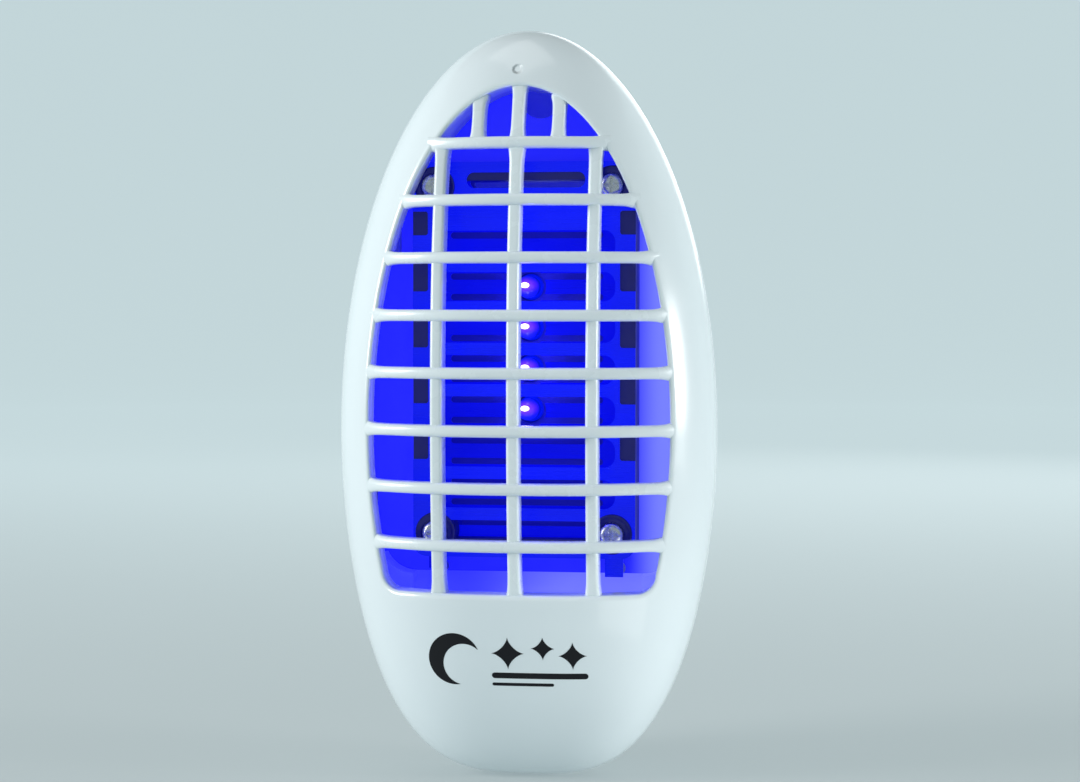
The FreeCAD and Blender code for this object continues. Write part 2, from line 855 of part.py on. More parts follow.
def lead(points, radius):
    """A round insulated wire: straight runs joined by tangent arcs."""
    edges = []
    last = V(*points[0])
    for a, b, c in zip(points, points[1:], points[2:]):
        a, b, c = V(*a), V(*b), V(*c)
        into = (b - a).normalize()
        out = (c - b).normalize()
        turn = into.getAngle(out)
        trim = 0.45 * min((b - a).Length, (c - b).Length)
        start = b - into * trim
        end = b + out * trim
        bisector = (out - into).normalize()
        bend = trim / math.tan(turn / 2)
        middle = b + bisector * (math.hypot(bend, trim) - bend)
        edges.append(Part.makeLine(last, start))
        edges.append(Part.Arc(start, middle, end).toShape())
        last = end
    edges.append(Part.makeLine(last, V(*points[-1])))
    path = Part.Wire(edges)
    first = V(*points[1]) - V(*points[0])
    ring = Part.Wire([Part.makeCircle(radius, V(*points[0]), first)])
    return path.makePipeShell([ring], True, False)


def leads():
    """Short insulated wires from the contacts, the switch, the boards and the electrodes."""
    front = board_y - board_thickness
    led_back = led_board_y + led_board_thickness
    tail = -blade_tail + 0.8
    side = blade_spacing / 2 + blade_thickness / 2 + contact_thickness
    x, z = lead_hole_x, lead_hole_z
    routes = {
        "led_lead": [(8, front, 11), (8, -13, 12), (7, -14, 15), (6, led_back, 17)],
        "neutral_lead": [(side, tail, 0), (10.4, -7.6, 0.5), (12.8, -7.6, 1.8), (13.4, board_y, 3.0)],
        "live_lead": [
            (-side, tail, 0), (-12.8, -7.7, -0.5), (-19, -8, -3), (-25, -11, -6.5),
            (switch_back_x, -13.5, -8),
        ],
        "switch_lead": [(switch_back_x, -16, -3), (-25, -15, 0), (-18, -13, 3), (-13.5, front, 4)],
        "front_electrode_lead": [
            (13.6, front, -30), (15.5, -13.8, z), (19, -16.4, z), (x, -20.5, z),
            (x, -25, z + 0.4), (x, front_frame_y, z + 0.8),
        ],
        "rear_electrode_lead": [
            (-13.6, front, -39.4), (-15.2, -13.2, -38.4), (-18.4, -16.4, -33.4),
            (-x, -19.8, z - 0.3), (-x, -23, z + 0.7), (-x, rear_frame_y, z + 1.3),
        ],
    }
    for name, route in routes.items():
        keep(name, lead(route, lead_radius))


# ---------------------------------------------------------------- build every piece

bars = across_bars()
keep("front_cover", front_cover())
keep("grille_bars_across", bars)
keep("grille_bars_upright", upright_bars(bars))
keep("rear_case", rear_case())
keep("inner_liner", inner_liner())
keep("rear_grid_frame", grid_frame(rear_frame_y, backing_y))
keep("front_grid_frame", grid_frame(front_frame_y, rear_sheet_y))
keep("rear_electrode", rear_electrode())
keep("front_electrode", front_electrode())
keep("insulating_washers", insulating_washers())
keep("grid_screws", grid_screws())
keep("led_board", led_board())
keep("led_board_screws", led_board_screws())
for number, level in enumerate(led_zs(), 1):
    keep(f"uv_led_{number}", uv_led(level))
keep("power_board", power_board())
keep("power_board_screws", power_board_screws())
components()
keep("blade_left", blade(-1))
keep("blade_right", blade(1))
keep("blade_contact_left", contact(-1))
keep("blade_contact_right", contact(1))
keep("plug_block", plug_block())
keep("plug_bridge", plug_bridge())
keep("plug_screws", plug_screws())
keep("catch_tray", catch_tray())
keep("insect_chute", insect_chute())
keep("rating_plate", rating_plate())
keep("switch_body", switch_body())
keep("switch_knob", switch_knob())
leads()

os.makedirs("parts", exist_ok=True)
for name, shape in parts.items():
    shape.exportStep(f"parts/{name}.step")
    solids = shape.Solids
    print(f"{name:24s} solids {len(solids):2d} volume {shape.Volume:9.1f} valid {shape.isValid()}")
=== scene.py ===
import math

import bmesh
import bpy
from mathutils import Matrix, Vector


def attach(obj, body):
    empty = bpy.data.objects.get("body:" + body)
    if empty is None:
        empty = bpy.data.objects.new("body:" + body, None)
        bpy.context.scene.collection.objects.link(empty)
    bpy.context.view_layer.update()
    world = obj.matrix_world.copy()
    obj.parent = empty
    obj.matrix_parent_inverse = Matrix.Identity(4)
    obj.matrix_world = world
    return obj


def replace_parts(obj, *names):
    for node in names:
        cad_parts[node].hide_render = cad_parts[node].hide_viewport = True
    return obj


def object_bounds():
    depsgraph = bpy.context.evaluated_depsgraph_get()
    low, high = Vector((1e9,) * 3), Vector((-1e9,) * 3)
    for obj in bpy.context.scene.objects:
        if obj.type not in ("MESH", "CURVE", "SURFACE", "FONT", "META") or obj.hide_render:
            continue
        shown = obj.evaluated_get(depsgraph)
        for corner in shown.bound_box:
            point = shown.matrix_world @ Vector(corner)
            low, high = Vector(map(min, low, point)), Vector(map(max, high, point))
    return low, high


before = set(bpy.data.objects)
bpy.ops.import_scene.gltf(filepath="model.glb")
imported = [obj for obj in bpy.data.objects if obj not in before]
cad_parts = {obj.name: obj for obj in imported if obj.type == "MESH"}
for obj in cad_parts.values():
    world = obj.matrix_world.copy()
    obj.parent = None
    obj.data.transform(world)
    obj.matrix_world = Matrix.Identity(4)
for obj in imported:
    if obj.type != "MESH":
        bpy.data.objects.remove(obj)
cad_low, cad_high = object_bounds()

MM = 0.001

# The case's outline and dome, in millimetres as in the CAD
HALF_WIDTH = 42.0
TOP_HEIGHT = 88.5
BOTTOM_DEPTH = 76.5
BOTTOM_POWER_X = 3.1
BOTTOM_POWER_Z = 1.9
CENTRE_Z = 6.0
RIM_Y = -25.0
DOME_HEIGHT = 25.0
DOME_POWER = 2.3
DOME_ROOT = 0.55
WALL = 2.2
RIM_ROUND = 0.25
RIM_STEP = 0.3
RIM_TUCK_X = 0.994
RIM_TUCK_Z = 0.997

# How the cover's rings of points crowd towards its edges
RING_CROWDING = 1.9
OUTSIDE_RINGS = 34
INSIDE_RINGS = 16

# The window and its bars
WINDOW_HALF_WIDTH = 32.8
WINDOW_HALF_HEIGHT = 73.9
WINDOW_CENTRE_Z = 1.4
WINDOW_BOTTOM = -33.8
WINDOW_CORNER = 4.0
LIP_ROUND = 1.3
LIP_WIDTH = 1.6
LIP_DEPTH = 6.5
HOOD_DEPTH = 16.0
HOOD_LOW_Z = 63.5
BAR_COUNT = 8
BAR_PITCH = 12.33
TOP_BAR_Z = 62.9
BAR_HEIGHT = 2.5
BAR_FRONT = 0.05
BAR_DEPTH = 3.8
BAR_ROUND = 1.05
BAR_INTO_LIP = 0.5
BAR_SWELL = 0.35
UPRIGHT_WIDTH = 2.7
UPRIGHT_FRONT = 1.0
UPRIGHT_DEPTH = 4.6
UPRIGHT_ROUND = 0.8
UPRIGHT_SPACING = 16.7
TOP_UPRIGHT_SPACING = 8.7
BACK_ROUND = 0.4

# The cover's snap hooks
HOOK_ZS = (-18.0, 44.0)
HOOK_WIDTH = 8.0
HOOK_THICKNESS = 1.8
HOOK_ROOT_Y = -33.0
HOOK_LEAF_Y = -28.0
HOOK_END_Y = -20.0
HOOK_CLEARANCE = 1.4
BARB_REACH = 0.5
BARB_FRONT_Y = -22.4
BARB_TIP_YS = (-21.25, -22.25)

# The LEDs
LED_ZS = [32.1 - 9.1 * i for i in range(4)]
LED_RADIUS = 2.5
LED_BASE_Y = -18.0
LED_BARREL_Y = -24.1
LED_FLANGE_RADIUS = 2.9
LED_FLANGE_DEPTH = 0.85

# The printed mark: stars as (across, above its middle, size), stripes as (from, to, above, height)
MARK_Z = -48.2
MOON_X = -13.4
MOON_RADIUS = 5.8
MARK_STARS = ((-1.6, 1.6, 3.6), (6.0, 2.8, 2.6), (12.4, 1.2, 3.1))
MARK_STRIPES = ((-5.2, 15.6, -3.4, 1.3), (-5.2, 8.2, -5.4, 0.7))

# The dent near the cover's top, in metres as a material's coordinates are
DIMPLE_PLACE = (-0.0005, -0.0364, 0.0790)
DIMPLE_RADIUS = 0.0013
DIMPLE_DEPTH = 0.0006

# Where the painted LED glow, the painted shade behind the plates and the paler painted light to the right
# change across, up and away from the LEDs, in metres too
LIT_RIGHT_SIDE = (0.0215, 0.0300)
PLATE_EDGE = (0.0205, 0.0235)
ABOVE_PLATES = (0.0570, 0.0610)
BELOW_PLATES = (-0.0285, -0.0255)
CHUTE_ACROSS = (-0.016, 0.014)
LIGHT_Y = -0.026
LIGHT_REACH = 0.060


# ---------------------------------------------------------------- shape of the case


def outline_radius(angle, inset=0.0):
    """Distance from the case's middle to its outline in one direction, seen from the front."""
    across, up, down = HALF_WIDTH - inset, TOP_HEIGHT - inset, BOTTOM_DEPTH - inset
    low, high = 0.0, TOP_HEIGHT + HALF_WIDTH
    for _ in range(40):
        r = (low + high) / 2
        x = abs(r * math.cos(angle))
        z = CENTRE_Z + r * math.sin(angle)
        if z >= 0:
            share = (x / across) ** 2 + (z / up) ** 2
        else:
            share = (x / across) ** BOTTOM_POWER_X + (-z / down) ** BOTTOM_POWER_Z
        low, high = (r, high) if share < 1 else (low, r)
    return r


def dome_y(x, z, inset=0.0, height=DOME_HEIGHT):
    """How far forward the dome stands at a place."""
    r = math.hypot(x, z - CENTRE_Z)
    if r < 1e-6:
        return RIM_Y - height
    share = min(1.0, r / outline_radius(math.atan2(z - CENTRE_Z, x), inset))
    return RIM_Y - height * (1 - share**DOME_POWER) ** DOME_ROOT


def window_half_width(z):
    """Half the window's width at a height."""
    inside = 1 - ((z - WINDOW_CENTRE_Z) / WINDOW_HALF_HEIGHT) ** 2
    return WINDOW_HALF_WIDTH * math.sqrt(max(0.0, inside))


def window_outline(steps=420):
    """Points and outward normals of the window's edge, evenly spread, with round lower corners."""
    foot = WINDOW_BOTTOM + WINDOW_CORNER
    raw = []
    start = math.asin((foot - WINDOW_CENTRE_Z) / WINDOW_HALF_HEIGHT)
    for i in range(301):
        t = start + (math.pi - 2 * start) * i / 300
        raw.append((WINDOW_HALF_WIDTH * math.cos(t), WINDOW_CENTRE_Z + WINDOW_HALF_HEIGHT * math.sin(t)))
    edge = window_half_width(foot)
    for side, first in ((-1, 180), (1, 270)):
        cx = side * (edge - WINDOW_CORNER)
        for i in range(1, 24):
            a = math.radians(first + 90 * i / 24)
            raw.append((cx + WINDOW_CORNER * math.cos(a), foot + WINDOW_CORNER * math.sin(a)))
    raw.append(raw[0])
    lengths = [0.0]
    for a, b in zip(raw, raw[1:]):
        lengths.append(lengths[-1] + math.dist(a, b))
    points = []
    j = 0
    for i in range(steps):
        want = lengths[-1] * i / steps
        while lengths[j + 1] < want:
            j += 1
        share = (want - lengths[j]) / (lengths[j + 1] - lengths[j])
        points.append(tuple(p + (q - p) * share for p, q in zip(raw[j], raw[j + 1])))
    normals = []
    for i in range(steps):
        (x0, z0), (x1, z1) = points[i - 1], points[(i + 1) % steps]
        length = math.hypot(x1 - x0, z1 - z0)
        normals.append(((z1 - z0) / length, (x0 - x1) / length))
    return points, normals


# ---------------------------------------------------------------- mesh helpers


def new_mesh(name, verts, faces, smooth=True):
    """An object from points in millimetres."""
    mesh = bpy.data.meshes.new(name)
    mesh.from_pydata([tuple(c * MM for c in v) for v in verts], [], faces)
    mesh.polygons.foreach_set("use_smooth", [smooth] * len(mesh.polygons))
    obj = bpy.data.objects.new(name, mesh)
    bpy.context.scene.collection.objects.link(obj)
    outward(mesh)
    return obj


def outward(mesh):
    """Turns a mesh's faces to look out."""
    bm = bmesh.new()
    bm.from_mesh(mesh)
    bmesh.ops.recalc_face_normals(bm, faces=bm.faces)
    bm.to_mesh(mesh)
    bm.free()


def ring_faces(rings, count, close=False):
    """Quads between rings of points, each ring closed round on itself."""
    faces = []
    last = rings if close else rings - 1
    for i in range(last):
        a, b = i * count, ((i + 1) % rings) * count
        for j in range(count):
            k = (j + 1) % count
            faces.append((a + j, a + k, b + k, b + j))
    return faces


def sharpen(obj, degrees=40):
    """Marks the edges sharper than an angle, so that round stretches shade smoothly."""
    bm = bmesh.new()
    bm.from_mesh(obj.data)
    limit = math.radians(degrees)
    for e in bm.edges:
        e.smooth = len(e.link_faces) == 2 and e.calc_face_angle(0) < limit
    for f in bm.faces:
        f.smooth = True
    bm.to_mesh(obj.data)
    bm.free()


def rounded_section(width, depth, front_round, back_round, steps=6):
    """A bar's section, as (across, back) pairs: round at the front, nearly square at the back."""
    half = width / 2
    corners = (
        (half - front_round, front_round, front_round, 0),
        (-half + front_round, front_round, front_round, 90),
        (-half + back_round, depth - back_round, back_round, 180),
        (half - back_round, depth - back_round, back_round, 270),
    )
    points = []
    for across, back, radius, first in corners:
        for i in range(steps + 1):
            a = math.radians(first + 90 * i / steps)
            points.append((across + radius * math.cos(a), back - radius * math.sin(a)))
    return points


def bar_mesh(name, stations, section, place):
    """A bar of one section through many stations; place puts a section's point at a station."""
    verts = []
    for s in stations:
        for across, back in section:
            verts.append(place(s, across, back))
    count = len(section)
    faces = ring_faces(len(stations), count)
    faces.append(tuple(range(count)))
    faces.append(tuple(range(len(verts) - count, len(verts))))
    return new_mesh(name, verts, faces)


def joined(name, objects):
    """One object from several."""
    bm = bmesh.new()
    for o in objects:
        bm.from_mesh(o.data)
        bpy.data.objects.remove(o)
    mesh = bpy.data.meshes.new(name)
    bm.to_mesh(mesh)
    bm.free()
    obj = bpy.data.objects.new(name, mesh)
    bpy.context.scene.collection.objects.link(obj)
    return obj


# ---------------------------------------------------------------- cover and grille


def lip_depth(z):
    """How far the lip reaches back: a shallow rim, and a deeper hood round the window's top."""
    share = min(1.0, max(0.0, (z - HOOD_LOW_Z) / 1.5))
    return LIP_DEPTH + (HOOD_DEPTH - LIP_DEPTH) * share * share * (3 - 2 * share)


def cover_shell():
    """The domed cover, with a round-edged window, a lip behind it and a finished rear rim."""
    edge, normals = window_outline()
    count = len(edge)
    outer = []
    inner = []
    for x, z in edge:
        angle = math.atan2(z - CENTRE_Z, x)
        for radii, inset in ((outer, 0.0), (inner, WALL)):
            r = outline_radius(angle, inset)
            radii.append((r * math.cos(angle), CENTRE_Z + r * math.sin(angle)))

    def offset(d):
        return [(x + nx * d, z + nz * d) for (x, z), (nx, nz) in zip(edge, normals)]

    rings = []
    start = offset(LIP_ROUND)
    rings.append([(x * RIM_TUCK_X, RIM_Y, CENTRE_Z + (z - CENTRE_Z) * RIM_TUCK_Z) for x, z in outer])
    rings.append([(x, RIM_Y - RIM_ROUND, z) for x, z in outer])
    for i in range(1, OUTSIDE_RINGS):
        share = (i / OUTSIDE_RINGS) ** RING_CROWDING
        ring = []
        for (x0, z0), (x1, z1) in zip(outer, start):
            x, z = x0 + (x1 - x0) * share, z0 + (z1 - z0) * share
            ring.append((x, min(dome_y(x, z), RIM_Y - RIM_STEP), z))
        rings.append(ring)
    for i in range(9):
        a = math.pi / 2 * i / 8
        ring = []
        for x, z in offset(LIP_ROUND * (1 - math.sin(a))):
            ring.append((x, dome_y(x, z) + LIP_ROUND * (1 - math.cos(a)), z))
        rings.append(ring)
    for share in (0.5, 0.94):
        rings.append([(x, dome_y(x, z) + share * lip_depth(z), z) for x, z in offset(0)])
    for width in (0.4, LIP_WIDTH - 0.4):
        rings.append([(x, dome_y(x, z) + lip_depth(z), z) for x, z in offset(width)])
    for share in (0.94, 0.5):
        rings.append([(x, dome_y(x, z) + share * lip_depth(z), z) for x, z in offset(LIP_WIDTH)])
    inner_height = DOME_HEIGHT - WALL
    back = offset(LIP_WIDTH)
    for i in range(INSIDE_RINGS + 1):
        share = 1 - (1 - i / INSIDE_RINGS) ** RING_CROWDING
        ring = []
        for (x0, z0), (x1, z1) in zip(back, inner):
            x, z = x0 + (x1 - x0) * share, z0 + (z1 - z0) * share
            ring.append((x, dome_y(x, z, WALL, inner_height), z))
        rings.append(ring)
    verts = [v for ring in rings for v in ring]
    shell = new_mesh("cover_shell", verts, ring_faces(len(rings), count, close=True))
    sharpen(shell)
    return shell


def hook_reach(z):
    """How far out a hook can stand and stay clear of the rear case's wall."""
    widths = [HALF_WIDTH * math.sqrt(1 - (edge / TOP_HEIGHT) ** 2) for edge in (z - 5, z + 5)]
    return min(widths) - WALL - HOOK_CLEARANCE


def snap_hook(side, z):
    """One snap hook: a tapering leaf that grows out of the cover and ends in a sloped barb."""
    reach = hook_reach(z)
    inner = reach - HOOK_THICKNESS
    profile = [(inner - 0.35, HOOK_ROOT_Y), (inner, HOOK_LEAF_Y), (inner + 0.05, HOOK_END_Y + 0.35)]
    profile += [(inner + 0.4, HOOK_END_Y), (reach - 0.1, HOOK_END_Y)]
    profile += [(reach + BARB_REACH, y) for y in BARB_TIP_YS]
    profile += [(reach + 0.05, BARB_FRONT_Y), (reach, HOOK_LEAF_Y), (reach + 0.1, HOOK_ROOT_Y)]
    steps = ((-1.0, 0.35), (-0.92, 0.0), (0.92, 0.0), (1.0, 0.35))
    middle = sum(x for x, _ in profile) / len(profile)
    verts = []
    for level, shrink in steps:
        for x, y in profile:
            x += math.copysign(shrink, middle - x) * 0.5
            verts.append((side * x, y, z + level * HOOK_WIDTH / 2))
    count = len(profile)
    faces = ring_faces(len(steps), count)
    faces.append(tuple(range(count)))
    faces.append(tuple(range(len(verts) - count, len(verts))))
    return new_mesh("hook", verts, faces)


def cover_hooks():
    """The cover's four snap hooks, as one piece."""
    hooks = joined("cover_hooks", [snap_hook(side, z) for side in (-1, 1) for z in HOOK_ZS])
    sharpen(hooks, 35)
    return hooks


def across_bar(index):
    """One bar across the window, following the dome and swelling a little where it joins the lip."""
    z = TOP_BAR_Z - index * BAR_PITCH
    edge = window_half_width(z)
    reach = edge + LIP_ROUND + BAR_INTO_LIP
    section = rounded_section(BAR_HEIGHT, BAR_DEPTH, BAR_ROUND, BACK_ROUND)
    stations = [reach * math.sin(math.pi / 2 * i / 36) for i in range(-36, 37)]

    def place(x, across, back):
        swell = 1 + BAR_SWELL * math.exp(-max(0.0, edge - abs(x)))
        return x, dome_y(x, z) + BAR_FRONT + back, z + across * swell

    return bar_mesh("bar", stations, section, place)


def upright_bar(x, low, high):
    """One upright behind the across bars."""
    section = rounded_section(UPRIGHT_WIDTH, UPRIGHT_DEPTH, UPRIGHT_ROUND, BACK_ROUND)
    stations = [low + (high - low) * i / 60 for i in range(61)]

    def place(z, across, back):
        swell = 1 + BAR_SWELL * math.exp(-max(0.0, min(z - low, high - z) - 0.8))
        return x + across * swell, dome_y(x, z) + UPRIGHT_FRONT + back, z

    return bar_mesh("upright", stations, section, place)


def window_top(x):
    """The height of the window's upper edge at a place across it."""
    return WINDOW_CENTRE_Z + WINDOW_HALF_HEIGHT * math.sqrt(1 - (x / WINDOW_HALF_WIDTH) ** 2)


def grille():
    """The across bars and the uprights, as two pieces."""
    across = joined("grille_across", [across_bar(i) for i in range(BAR_COUNT)])
    uprights = []
    for side in (-1, 0, 1):
        x = side * UPRIGHT_SPACING
        uprights.append(upright_bar(x, WINDOW_BOTTOM - 0.9, TOP_BAR_Z if side else TOP_BAR_Z - 0.6))
        x = side * TOP_UPRIGHT_SPACING
        uprights.append(upright_bar(x, TOP_BAR_Z, window_top(x) + 0.8))
    return across, joined("grille_uprights", uprights)


# ---------------------------------------------------------------- LEDs


def led(number, z):
    """A lit LED: a round flange, a barrel and a domed nose, turned about its own line."""
    flange = LED_FLANGE_RADIUS
    profile = [(0, LED_BASE_Y), (flange, LED_BASE_Y), (flange, LED_BASE_Y - LED_FLANGE_DEPTH)]
    profile.append((flange - 0.15, LED_BASE_Y - 1.0))
    profile += [(LED_RADIUS, LED_BASE_Y - 1.05), (LED_RADIUS, LED_BARREL_Y)]
    for i in range(1, 13):
        a = math.pi / 2 * i / 12
        profile.append((LED_RADIUS * math.cos(a), LED_BARREL_Y - LED_RADIUS * math.sin(a)))
    count = 40
    verts = []
    for r, y in profile[1:-1]:
        for j in range(count):
            a = 2 * math.pi * j / count
            verts.append((r * math.cos(a), y, z + r * math.sin(a)))
    faces = ring_faces(len(profile) - 2, count)
    faces.append(tuple(range(count)))
    tip = len(verts)
    verts.append((0, profile[-1][1], z))
    first = tip - count
    for j in range(count):
        faces.append((first + j, first + (j + 1) % count, tip))
    obj = new_mesh(f"led_lens_{number}", verts, faces)
    sharpen(obj, 50)
    return obj


# ---------------------------------------------------------------- printed mark


def mark_patch(one_side, other_side, across=4, lift=0.035, thickness=0.03):
    """A thin printed patch that follows the cover's front, between two lines of (x, z) points."""
    verts = []
    for height in (lift, lift - thickness):
        for (x0, z0), (x1, z1) in zip(one_side, other_side):
            for j in range(across + 1):
                x = x0 + (x1 - x0) * j / across
                z = z0 + (z1 - z0) * j / across
                verts.append((x, dome_y(x, z) - height, z))
    row = across + 1
    rows = len(one_side)
    sheet = row * rows
    faces = []
    for base in (0, sheet):
        for i in range(rows - 1):
            for j in range(across):
                a = base + i * row + j
                faces.append((a, a + 1, a + row + 1, a + row))
    border = [(i * row, (i + 1) * row) for i in range(rows - 1)]
    border += [(i * row + across, (i + 1) * row + across) for i in range(rows - 1)]
    border += [(j, j + 1) for j in range(across)]
    border += [((rows - 1) * row + j, (rows - 1) * row + j + 1) for j in range(across)]
    faces += [(a, b, b + sheet, a + sheet) for a, b in border]
    patch = new_mesh("mark", verts, faces, smooth=False)
    bm = bmesh.new()
    bm.from_mesh(patch.data)
    bmesh.ops.remove_doubles(bm, verts=bm.verts[:], dist=0.000004)
    bmesh.ops.recalc_face_normals(bm, faces=bm.faces[:])
    bm.to_mesh(patch.data)
    bm.free()
    return patch


def crescent(x, z, radius, turn=-28, steps=48):
    """A thin moon, between an outer circle and a smaller one that is shifted aside."""
    inner, shift = 0.80 * radius, 0.42 * radius
    reach = (radius**2 - inner**2 + shift**2) / (2 * shift)
    outer_tip = math.acos(reach / radius)
    inner_tip = math.acos((reach - shift) / inner)
    c, s = math.cos(math.radians(turn)), math.sin(math.radians(turn))
    sides = []
    for centre, r, tip in ((0.0, radius, outer_tip), (shift, inner, inner_tip)):
        side = []
        for i in range(steps + 1):
            a = tip + (2 * math.pi - 2 * tip) * i / steps
            px, pz = centre + r * math.cos(a), r * math.sin(a)
            side.append((x + px * c - pz * s, z + px * s + pz * c))
        sides.append(side)
    return mark_patch(*sides)


def star(x, z, radius, steps=24):
    """A four-pointed star with hollow sides."""
    turns = [math.pi * i / steps for i in range(steps + 1)]
    upper = [(x + radius * math.cos(a) ** 3, z + radius * math.sin(a) ** 3) for a in turns]
    return mark_patch(upper, [(px, 2 * z - pz) for px, pz in upper])


def stripe(x0, x1, z, height, steps=40):
    """A stripe with round ends."""
    r = height / 2
    upper = []
    for i in range(steps + 1):
        across = x0 + (x1 - x0) * (1 - math.cos(math.pi * i / steps)) / 2
        from_end = min(across - x0, x1 - across, r)
        upper.append((across, z + math.sqrt(max(0.0, r * r - (r - from_end) ** 2))))
    return mark_patch(upper, [(px, 2 * z - pz) for px, pz in upper])


def printed_mark():
    """A thin moon, three stars and two stripes, in place of lettering."""
    pieces = [crescent(MOON_X, MARK_Z, MOON_RADIUS)]
    pieces += [star(x, MARK_Z + rise, size) for x, rise, size in MARK_STARS]
    pieces += [stripe(x0, x1, MARK_Z + rise, height) for x0, x1, rise, height in MARK_STRIPES]
    return joined("printed_mark", pieces)


# ---------------------------------------------------------------- materials


def material(name, color, roughness, metallic=0.0, **sockets):
    """A principled material; returns it with its tree and shader."""
    mat = bpy.data.materials.new(name)
    mat.use_nodes = True
    tree = mat.node_tree
    shader = tree.nodes["Principled BSDF"]
    shader.inputs["Base Color"].default_value = (*color, 1)
    shader.inputs["Roughness"].default_value = roughness
    shader.inputs["Metallic"].default_value = metallic
    for key, value in sockets.items():
        shader.inputs[key.replace("_", " ")].default_value = value
    return mat, tree, shader


def noise(tree, scale, detail=4.0, stretch=(1, 1, 1)):
    """Noise in the object's own space, with scale in waves per metre."""
    coords = tree.nodes.new("ShaderNodeTexCoord")
    mapping = tree.nodes.new("ShaderNodeMapping")
    mapping.inputs["Scale"].default_value = stretch
    texture = tree.nodes.new("ShaderNodeTexNoise")
    texture.inputs["Scale"].default_value = scale
    texture.inputs["Detail"].default_value = detail
    tree.links.new(coords.outputs["Object"], mapping.inputs["Vector"])
    tree.links.new(mapping.outputs["Vector"], texture.inputs["Vector"])
    return texture.outputs["Fac"]


def spread(tree, value, low, high):
    """A value from 0 to 1 turned into a range."""
    node = tree.nodes.new("ShaderNodeMapRange")
    node.inputs["From Min"].default_value = 0.3
    node.inputs["From Max"].default_value = 0.7
    node.inputs["To Min"].default_value = low
    node.inputs["To Max"].default_value = high
    tree.links.new(value, node.inputs["Value"])
    return node.outputs["Result"]


def tint(tree, value, a, b):
    """A colour between two, by a value; the first may be another node's output."""
    node = tree.nodes.new("ShaderNodeMix")
    node.data_type = "RGBA"
    node.inputs["B"].default_value = (*b, 1)
    tree.links.new(value, node.inputs["Factor"])
    if isinstance(a, bpy.types.NodeSocket):
        tree.links.new(a, node.inputs["A"])
    else:
        node.inputs["A"].default_value = (*a, 1)
    return node.outputs["Result"]


def bump(tree, shader, value, strength, distance):
    """Relief in a material's surface, by a value."""
    node = tree.nodes.new("ShaderNodeBump")
    node.inputs["Strength"].default_value = strength
    node.inputs["Distance"].default_value = distance
    tree.links.new(value, node.inputs["Height"])
    tree.links.new(node.outputs["Normal"], shader.inputs["Normal"])


def plastic(name, color, roughness, vary=0.04, grain=900.0, grain_depth=0.00001, **sockets):
    """Moulded plastic: faint cloudy tone, uneven polish and a fine grain."""
    mat, tree, shader = material(name, color, roughness, **sockets)
    cloud = noise(tree, 28.0, 3.0)
    darker = tuple(c * (1 - vary) for c in color)
    tree.links.new(tint(tree, spread(tree, cloud, 0, 1), darker, color), shader.inputs["Base Color"])
    polish = noise(tree, 160.0, 5.0)
    tree.links.new(spread(tree, polish, roughness * 0.85, roughness * 1.2), shader.inputs["Roughness"])
    bump(tree, shader, noise(tree, grain, 6.0), 0.35, grain_depth)
    return mat


def metal(name, color, roughness, stretch=(0.15, 1, 4), **sockets):
    """Sheet or plated metal with fine rolling lines."""
    mat, tree, shader = material(name, color, roughness, 1.0, **sockets)
    lines = noise(tree, 900.0, 3.0, stretch)
    darker = tuple(c * 0.9 for c in color)
    tree.links.new(tint(tree, spread(tree, lines, 0, 1), darker, color), shader.inputs["Base Color"])
    tree.links.new(spread(tree, lines, roughness * 0.7, roughness * 1.4), shader.inputs["Roughness"])
    bump(tree, shader, lines, 0.12, 0.00001)
    return mat


def place_in_object(tree, shift, stretch):
    """Distance from a place in the object's own space, with each axis stretched."""
    coords = tree.nodes.new("ShaderNodeTexCoord")
    mapping = tree.nodes.new("ShaderNodeMapping")
    mapping.inputs["Location"].default_value = tuple(-a * b for a, b in zip(shift, stretch))
    mapping.inputs["Scale"].default_value = stretch
    length = tree.nodes.new("ShaderNodeVectorMath")
    length.operation = "LENGTH"
    tree.links.new(coords.outputs["Object"], mapping.inputs["Vector"])
    tree.links.new(mapping.outputs["Vector"], length.inputs[0])
    return length.outputs["Value"]


def ramp(tree, value, start, end, low, high):
    """A smooth change from low to high as a value goes from start to end."""
    node = tree.nodes.new("ShaderNodeMapRange")
    node.interpolation_type = "SMOOTHSTEP"
    node.inputs["From Min"].default_value = start
    node.inputs["From Max"].default_value = end
    node.inputs["To Min"].default_value = low
    node.inputs["To Max"].default_value = high
    tree.links.new(value, node.inputs["Value"])
    return node.outputs["Result"]


def axis_value(tree, axis, absolute=False):
    """One coordinate in the object's own space, in metres."""
    coords = tree.nodes.new("ShaderNodeTexCoord")
    split = tree.nodes.new("ShaderNodeSeparateXYZ")
    tree.links.new(coords.outputs["Object"], split.inputs["Vector"])
    if not absolute:
        return split.outputs[axis]
    size = tree.nodes.new("ShaderNodeMath")
    size.operation = "ABSOLUTE"
    tree.links.new(split.outputs[axis], size.inputs[0])
    return size.outputs[0]


def dimple(mat, place, radius, depth):
    """A small round dent, such as a moulding gate leaves."""
    tree = mat.node_tree
    distance = place_in_object(tree, place, (1.0, 0.3, 1.0))
    dent = tree.nodes.new("ShaderNodeBump")
    dent.inputs["Distance"].default_value = depth
    tree.links.new(ramp(tree, distance, radius * 0.4, radius, 0.0, 1.0), dent.inputs["Height"])
    grain = tree.nodes["Principled BSDF"].inputs["Normal"].links[0].from_node
    tree.links.new(dent.outputs["Normal"], grain.inputs["Normal"])


